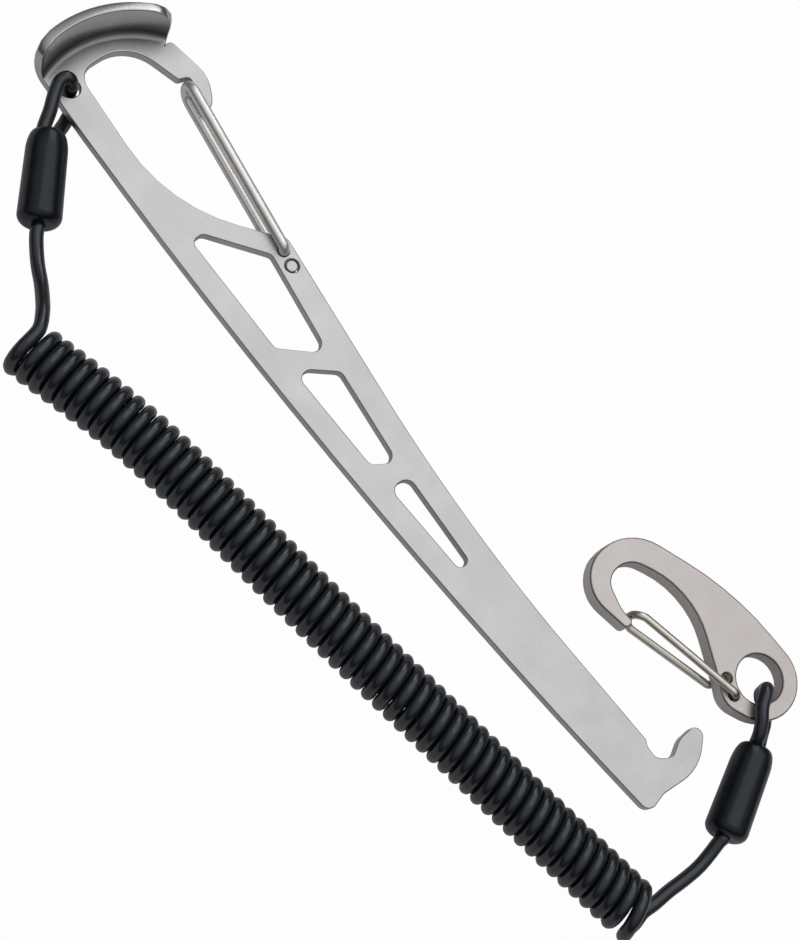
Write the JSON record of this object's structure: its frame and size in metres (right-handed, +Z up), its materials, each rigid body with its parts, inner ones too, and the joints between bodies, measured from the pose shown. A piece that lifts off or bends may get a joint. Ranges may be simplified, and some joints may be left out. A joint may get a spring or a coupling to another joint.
{
  "type": "climbing nut key",
  "caption": "Flat steel climbing nut key with a hooked tip, folded palm flange and wire gate head, on a curly leash that ends in a small wire gate clip.",
  "frame": {"origin": "middle of the key's outline, on the floor the object lies on; the leash and its clip are left out", "axes": "+X along the key from the palm flange to the hook, +Y towards the gate side, +Z up out of the plate's front face"},
  "size_m": [0.2271, 0.0993, 0.0131],
  "materials": {
    "plate_steel": "satin, tumbled",
    "gate_wire": "polished",
    "gate_foot": "polished",
    "leash_cord": "glossy",
    "leash_curl": "glossy",
    "leash_far_cord": "glossy",
    "sleeve_key": "glossy",
    "ferrule_key": "bare",
    "sleeve_clip": "glossy",
    "ferrule_clip": "bare",
    "clip_alloy": "bead blasted, anodised",
    "clip_gate_wire": "polished",
    "clip_gate_foot": "polished"
  },
  "bodies": {
    "key": {"key_plate": "plate_steel", "key_gate_rear_foot": "gate_foot", "leash_key_end": "leash_cord", "leash_coil": "leash_curl", "key_sleeve": "sleeve_key", "key_ferrule": "ferrule_key"},
    "key_gate": {"key_gate": "gate_wire"},
    "leash_end": {"leash_clip_end": "leash_far_cord", "clip_sleeve": "sleeve_clip", "clip_ferrule": "ferrule_clip"},
    "clip": {"clip_frame": "clip_alloy", "clip_gate_rear_foot": "clip_gate_foot"},
    "clip_gate": {"clip_gate": "clip_gate_wire"}
  },
  "joints": [
    {"name": "key_gate_hinge", "type": "hinge", "parent": "key", "child": "key_gate", "pos_m": [-0.038, 0.0046, 0.0043], "axis": [0, 0, 1], "range_deg": [0, 24], "stiffness_Nm_per_rad": 0.15, "springref_deg": -8.59},
    {"name": "leash_stretch", "type": "slide", "parent": "key", "child": "leash_end", "axis": [0.9893, 0.146, 0], "range_m": [0, 0.25], "stiffness_N_per_m": 12, "deforming": ["leash_coil"]},
    {"name": "clip_swing", "type": "hinge", "parent": "leash_end", "child": "clip", "pos_m": [0.0993, 0.0285, 0.0053], "axis": [0, 0, -1], "range_deg": [-5, 45]},
    {"name": "clip_gate_hinge", "type": "hinge", "parent": "clip", "child": "clip_gate", "pos_m": [0.09811, 0.02109, 0.0053], "axis": [0, 0, -1], "range_deg": [0, 19], "stiffness_Nm_per_rad": 0.06, "springref_deg": -8.59}
  ]
}
